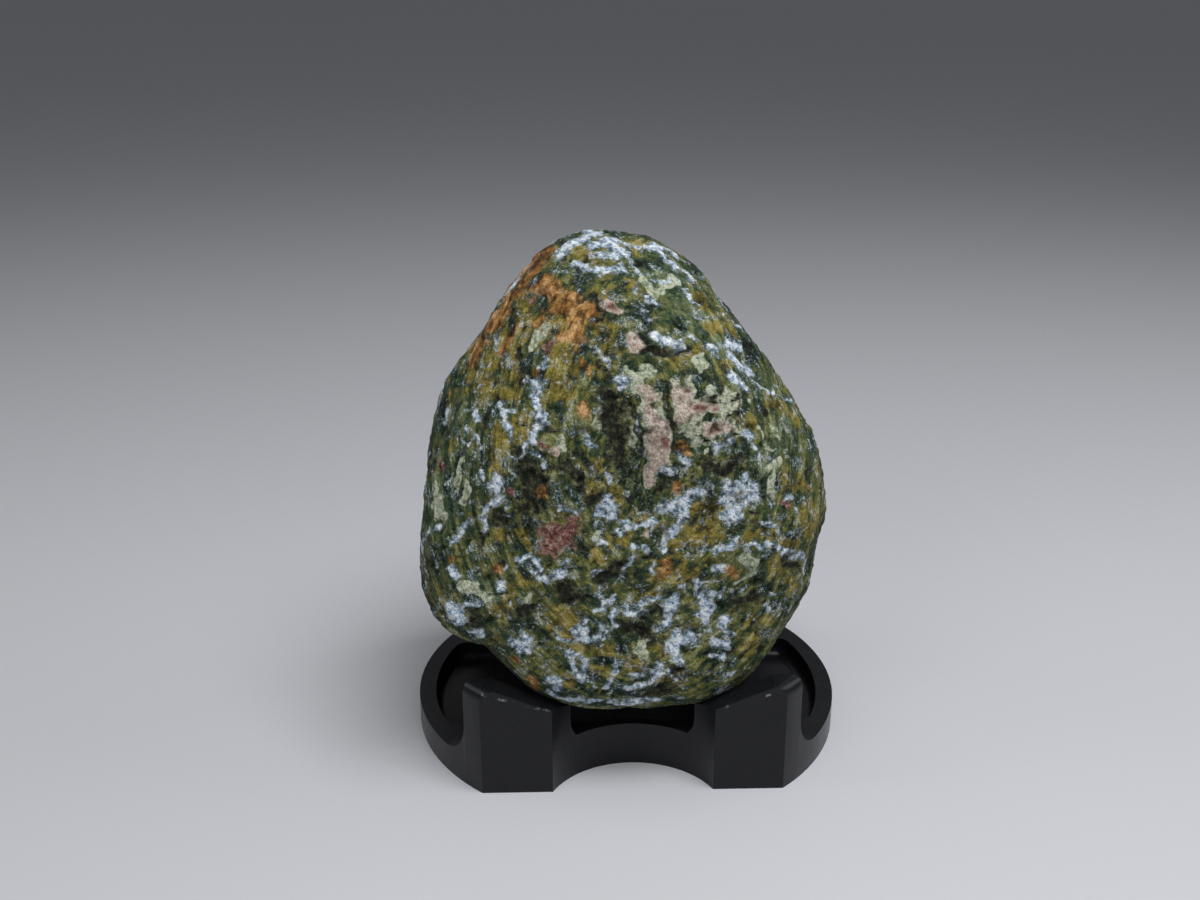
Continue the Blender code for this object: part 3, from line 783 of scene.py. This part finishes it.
def multiplied(tree, first, second):
    """First colour multiplied by the second, above 1 too."""
    item = tree.nodes.new("ShaderNodeMix")
    item.data_type = "RGBA"
    item.blend_type = "MULTIPLY"
    item.inputs[0].default_value = 1.0
    tree.links.new(first, item.inputs[6])
    tree.links.new(second, item.inputs[7])
    return item.outputs[2]


material, tree, shader = new_material("boulder_rock")
spot = add_node(tree, "ShaderNodeTexCoord").outputs["Object"]
layered = add_node(tree, "ShaderNodeAttribute", attribute_name="layers").outputs["Vector"]
blots = value_noise(tree, spot, 8 * MM, 6.0, 0.6)
streaks = value_noise(tree, layered, 1.1, 6.0, 0.64, 0.5)
crumbs = value_noise(tree, spot, 1.8 * MM, 5.0, 0.7)
grain = value_noise(tree, spot, 0.7 * MM, 3.0, 0.65)
rag = value_noise(tree, spot, 3.0 * MM, 8.0, 0.75)
edge_group = ragged_edge_group()

body = arithmetic(tree, "ADD", arithmetic(tree, "MULTIPLY", streaks, 0.52),
                  arithmetic(tree, "ADD", arithmetic(tree, "MULTIPLY", blots, 0.28),
                             arithmetic(tree, "MULTIPLY", crumbs, 0.20)))
dark_ground = ramp(tree, body, (
    (0.42, (0.008, 0.017, 0.010)), (0.46, (0.027, 0.050, 0.025)), (0.50, (0.070, 0.098, 0.034)),
    (0.53, (0.155, 0.142, 0.028)), (0.59, (0.29, 0.31, 0.14))))
sage_ground = ramp(tree, body, (
    (0.42, (0.018, 0.037, 0.020)), (0.47, (0.053, 0.090, 0.042)), (0.52, (0.116, 0.156, 0.068)),
    (0.56, (0.195, 0.225, 0.102)), (0.62, (0.35, 0.40, 0.27))))
sage = ragged(tree, edge_group, "sage", streaks, 1.6, 0.35)
ground = mix(tree, sage, dark_ground, sage_ground)
olive_shades = ramp(tree, body, (
    (0.42, (0.045, 0.042, 0.012)), (0.46, (0.120, 0.105, 0.022)), (0.51, (0.225, 0.178, 0.030)),
    (0.56, (0.34, 0.275, 0.060)), (0.61, (0.44, 0.39, 0.16))))
rust_shades = ramp(tree, body, (
    (0.42, (0.060, 0.027, 0.009)), (0.47, (0.185, 0.080, 0.017)), (0.52, (0.43, 0.200, 0.050)),
    (0.57, (0.72, 0.43, 0.20))))
shade_shades = ramp(tree, crumbs, (
    (0.42, (0.010, 0.013, 0.009)), (0.52, (0.036, 0.040, 0.022)), (0.62, (0.13, 0.12, 0.055))))
pale_shades = ramp(tree, crumbs, (
    (0.38, (0.22, 0.26, 0.17)), (0.46, (0.42, 0.47, 0.32)), (0.56, (0.64, 0.66, 0.51))))
blush_shades = ramp(tree, crumbs, (
    (0.38, (0.28, 0.26, 0.19)), (0.44, (0.44, 0.34, 0.27)), (0.52, (0.64, 0.50, 0.42)),
    (0.62, (0.76, 0.69, 0.60))))
brick_shades = ramp(tree, crumbs, (
    (0.40, (0.065, 0.024, 0.020)), (0.48, (0.21, 0.078, 0.065)), (0.56, (0.36, 0.175, 0.145)),
    (0.64, (0.42, 0.36, 0.28))))
crust_core = spread(tree, add_node(tree, "ShaderNodeAttribute", attribute_name="crust").outputs["Fac"], 0.5, 1.0)
crust_tone = arithmetic(tree, "ADD", crumbs, arithmetic(tree, "MULTIPLY", crust_core, 0.05))
crust_shades = ramp(tree, crust_tone, (
    (0.38, (0.09, 0.14, 0.17)), (0.46, (0.32, 0.42, 0.53)), (0.53, (0.61, 0.71, 0.83)),
    (0.61, (0.94, 0.98, 1.0))))
fleck_noise = value_noise(tree, spot, 1.1 * MM, 4.0, 0.6, 1.2)
fleck_share = value_noise(tree, spot, 14 * MM, 3.0)
flecks = spread(tree, arithmetic(tree, "ADD", fleck_noise, arithmetic(tree, "MULTIPLY", fleck_share, 0.3)),
                0.81, 0.85)
vein = arithmetic(tree, "ABSOLUTE", arithmetic(
    tree, "SUBTRACT", value_noise(tree, spot, 6.0 * MM, 8.0, 0.72, 0.6), 0.5), 0.0)
streak = arithmetic(tree, "ABSOLUTE", arithmetic(
    tree, "SUBTRACT", value_noise(tree, layered, 1.5, 8.0, 0.7, 0.3), 0.5), 0.0)
veins = arithmetic(tree, "MULTIPLY", arithmetic(
    tree, "MAXIMUM", spread(tree, vein, 0.014, 0.004), spread(tree, streak, 0.012, 0.004)),
    spread(tree, value_noise(tree, spot, 5 * MM, 6.0, 0.7), 0.515, 0.565))

colour = mix(tree, ragged(tree, edge_group, "olive", streaks, 1.8, 0.22), ground, olive_shades)
colour = mix(tree, flecks, colour, (0.36, 0.42, 0.32))
colour = mix(tree, veins, colour, crust_shades)
for name, shades, ragged_noise, raggedness, softness in (
        ("pale", pale_shades, rag, 0.9, 0.12), ("blush", blush_shades, rag, 0.9, 0.22),
        ("brick", brick_shades, crumbs, 1.8, 0.30), ("shade", shade_shades, rag, 1.4, 0.20)):
    colour = mix(tree, ragged(tree, edge_group, name, ragged_noise, raggedness, softness), colour, shades)
film = arithmetic(tree, "MULTIPLY", ragged(tree, edge_group, "crust", fleck_noise, 1.8, 0.35), 0.45)
colour = mix(tree, film, colour, crust_shades)
colour = mix(tree, ragged(tree, edge_group, "crust", rag, 2.0, 0.20), colour, crust_shades)
stain = arithmetic(tree, "MULTIPLY", ragged(tree, edge_group, "rust", streaks, 1.1, 0.30), 0.92)
colour = mix(tree, stain, colour, rust_shades)
speckle = ramp(tree, grain, (
    (0.35, (0.60, 0.62, 0.58)), (0.47, (0.96, 0.96, 0.96)), (0.60, (1.08, 1.08, 1.08))))
# Painted shade: recesses are darkened, the deepest to about a third of their colour.
hollows = add_node(tree, "ShaderNodeAttribute", attribute_name="hollow").outputs["Fac"]
painted_recess_shade = ramp(tree, hollows, ((0.15, (1.0, 1.0, 1.0)), (0.9, (0.36, 0.36, 0.32))))
colour = multiplied(tree, multiplied(tree, colour, speckle), painted_recess_shade)
tree.links.new(colour, shader.inputs["Base Color"])
shader.inputs["Roughness"].default_value = 0.78
shader.inputs["Specular IOR Level"].default_value = 0.25
creased = arithmetic(tree, "ABSOLUTE", arithmetic(
    tree, "SUBTRACT", value_noise(tree, spot, 2.4 * MM, 5.0, 0.65), 0.5), 0.0)
bent = add_node(tree, "ShaderNodeVectorMath", {0: spot, 1: add_node(tree, "ShaderNodeVectorMath", {
    0: add_node(tree, "ShaderNodeTexNoise", {
        "Vector": spot, "Scale": 1 / (2.5 * MM), "Detail": 4.0}).outputs["Color"],
    1: (1.6 * MM, 1.6 * MM, 1.6 * MM)}, operation="MULTIPLY").outputs[0]}, operation="ADD")
broken = add_node(tree, "ShaderNodeTexVoronoi", {
    "Vector": bent.outputs[0], "Scale": 1 / (2.0 * MM), "Detail": 1.0, "Roughness": 0.6})
rough_skin = arithmetic(tree, "SUBTRACT", arithmetic(
    tree, "ADD", arithmetic(tree, "MULTIPLY", streaks, 1.3), arithmetic(tree, "ADD", crumbs, creased)),
    arithmetic(tree, "MULTIPLY", broken.outputs["Distance"], 0.45))
bump = add_node(tree, "ShaderNodeBump", {
    "Height": arithmetic(tree, "ADD", rough_skin, arithmetic(tree, "MULTIPLY", grain, 0.3)),
    "Strength": 1.0, "Distance": 1.2 * MM})
tree.links.new(bump.outputs["Normal"], shader.inputs["Normal"])
stone.data.materials.clear()
stone.data.materials.append(material)


# Stand. One injection moulding in black styrene, semi-gloss from the mould, its edges eased by
# the tool. Dust lies in the dish. The top front edges of the posts are painted light grey in
# broken lines: partly scuffs from the stone, partly a painted highlight along the edge.
EDGE_EASE = 0.7 * MM
SMOOTH_ANGLE = math.radians(32)
POST_FACE, POST_INNER = 60.4 * MM, 29.2 * MM     # from the middle: the posts' front, and inner corners
POST_LOW, POST_HIGH = 33.5 * MM, 42.4 * MM
POST_SLOPE = 0.30
stand_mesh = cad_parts["stand"].data.copy()
stand_mesh.name = "stand_moulding"
shape = bmesh.new()
shape.from_mesh(stand_mesh)
bmesh.ops.remove_doubles(shape, verts=shape.verts, dist=0.01 * MM)
bmesh.ops.dissolve_limit(shape, angle_limit=math.radians(0.5), verts=shape.verts, edges=shape.edges)
shape.to_mesh(stand_mesh)
shape.free()
stand_mesh.shade_smooth()
stand_mesh.set_sharp_from_angle(angle=SMOOTH_ANGLE)
stand = bpy.data.objects.new("display_stand", stand_mesh)
scene.collection.objects.link(stand)
eased = stand.modifiers.new("eased edges", "BEVEL")
eased.width = EDGE_EASE
eased.segments = 3
eased.limit_method = "ANGLE"
eased.angle_limit = SMOOTH_ANGLE
eased.use_clamp_overlap = True
eased.harden_normals = True
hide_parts("stand")
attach(stand, "root")

material, tree, shader = new_material("black_moulding")
spot = add_node(tree, "ShaderNodeTexCoord").outputs["Object"]
part = add_node(tree, "ShaderNodeSeparateXYZ", {"Vector": spot}).outputs
facing = add_node(tree, "ShaderNodeSeparateXYZ", {
    "Vector": add_node(tree, "ShaderNodeNewGeometry").outputs["Normal"]}).outputs
dust_noise = value_noise(tree, spot, 3.0 * MM, 6.0, 0.7)
dust = arithmetic(tree, "MULTIPLY", spread(tree, facing["Z"], 0.5, 1.0), spread(tree, dust_noise, 0.52, 0.70))
scratch_place = add_node(tree, "ShaderNodeMapping", {
    "Vector": spot, "Rotation": (0.3, 0.5, 0.4), "Scale": (1 / (18 * MM), 1 / (0.5 * MM), 1 / (18 * MM))})
scratches = spread(tree, add_node(tree, "ShaderNodeTexNoise", {
    "Vector": scratch_place.outputs["Vector"], "Scale": 1.0, "Detail": 2.0}).outputs["Fac"], 0.68, 0.74)
# Scuffs and painted highlight: a thin broken light line along the top front edge of each post.
outward_of_post = arithmetic(tree, "SUBTRACT", arithmetic(tree, "ABSOLUTE", part["X"], 0.0), POST_INNER)
top_line = arithmetic(tree, "MINIMUM", arithmetic(
    tree, "ADD", arithmetic(tree, "MULTIPLY", outward_of_post, POST_SLOPE), POST_LOW), POST_HIGH)
below_top = arithmetic(tree, "ABSOLUTE", arithmetic(tree, "SUBTRACT", top_line, part["Z"]), 0.0)
at_face = spread(tree, arithmetic(tree, "ABSOLUTE", part["Y"], 0.0), POST_FACE, POST_FACE + 0.4 * MM)
scuffs_and_painted_highlight = arithmetic(tree, "MULTIPLY", arithmetic(
    tree, "MULTIPLY", spread(tree, below_top, 0.7 * MM, 0.2 * MM), at_face),
    spread(tree, value_noise(tree, spot, 4.0 * MM, 6.0, 0.7), 0.55, 0.62))
black = ramp(tree, dust_noise, ((0.3, (0.0050, 0.0052, 0.0068)), (0.7, (0.0080, 0.0084, 0.0105))))
black = mix(tree, arithmetic(tree, "MULTIPLY", dust, 0.015), black, (0.32, 0.31, 0.29))
black = mix(tree, arithmetic(tree, "MULTIPLY", scratches, 0.02), black, (0.25, 0.26, 0.28))
# Light grey on the posts' top front edges: scuffs, and a painted highlight.
black = mix(tree, arithmetic(tree, "MULTIPLY", scuffs_and_painted_highlight, 0.5), black, (0.42, 0.44, 0.46))
tree.links.new(black, shader.inputs["Base Color"])
rough = arithmetic(tree, "ADD", spread(tree, value_noise(tree, spot, 9 * MM, 4.0), 0.35, 0.65, 0.27, 0.33),
                   arithmetic(tree, "MULTIPLY", arithmetic(tree, "ADD", dust, scratches), 0.08))
tree.links.new(rough, shader.inputs["Roughness"])
shader.inputs["Specular IOR Level"].default_value = 0.30
orange_peel = add_node(tree, "ShaderNodeBump", {
    "Height": value_noise(tree, spot, 1.5 * MM, 3.0), "Strength": 0.2, "Distance": 0.03 * MM})
tree.links.new(orange_peel.outputs["Normal"], shader.inputs["Normal"])
stand.data.materials.clear()
stand.data.materials.append(material)
